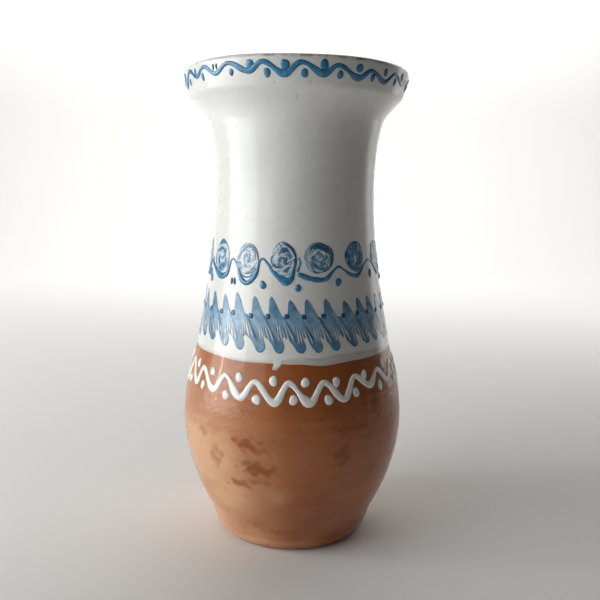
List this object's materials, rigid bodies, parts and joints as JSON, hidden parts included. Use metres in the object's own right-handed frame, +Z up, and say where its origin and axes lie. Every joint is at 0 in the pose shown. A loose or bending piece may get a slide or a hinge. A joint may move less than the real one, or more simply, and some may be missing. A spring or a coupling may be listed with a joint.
{
  "type": "pottery vase",
  "caption": "Tall thrown earthenware vase with a collared mouth, white upper coat, blue trailed, rose and combed bands, and a white slip wave on a terracotta belly.",
  "frame": {"origin": "middle of the foot, on the surface that the vase stands on", "axes": "+Z up the axis of turning, towards the mouth; -Y faces the viewer at the garland's break; +X is to the viewer's right"},
  "size_m": [0.1453, 0.1452, 0.3],
  "materials": {
    "clay": "matte",
    "inner_glaze": "gloss",
    "white_glaze": "gloss",
    "clear_glaze": "gloss",
    "blue_slip": "gloss",
    "marbled_slip": "gloss",
    "combed_slip": "gloss",
    "white_slip": "gloss"
  },
  "bodies": {
    "root": {"clay_body": "clay", "inner_glaze": "inner_glaze", "white_glaze": "white_glaze", "clear_glaze": "clear_glaze", "rim_scroll": "blue_slip", "rim_dots_upper": "blue_slip", "rim_dots_lower": "blue_slip", "rose_01": "marbled_slip", "rose_02": "marbled_slip", "rose_03": "marbled_slip", "rose_04": "marbled_slip", "rose_05": "marbled_slip", "rose_06": "marbled_slip", "rose_07": "marbled_slip", "rose_08": "marbled_slip", "rose_09": "marbled_slip", "rose_10": "marbled_slip", "rose_11": "marbled_slip", "rose_12": "marbled_slip", "rose_13": "marbled_slip", "rose_14": "marbled_slip", "garland": "blue_slip", "garland_drops": "blue_slip", "comb_band": "combed_slip", "notch_dabs": "blue_slip", "slip_wave": "white_slip", "slip_dots_upper": "white_slip", "slip_dots_lower": "white_slip"}
  },
  "joints": []
}
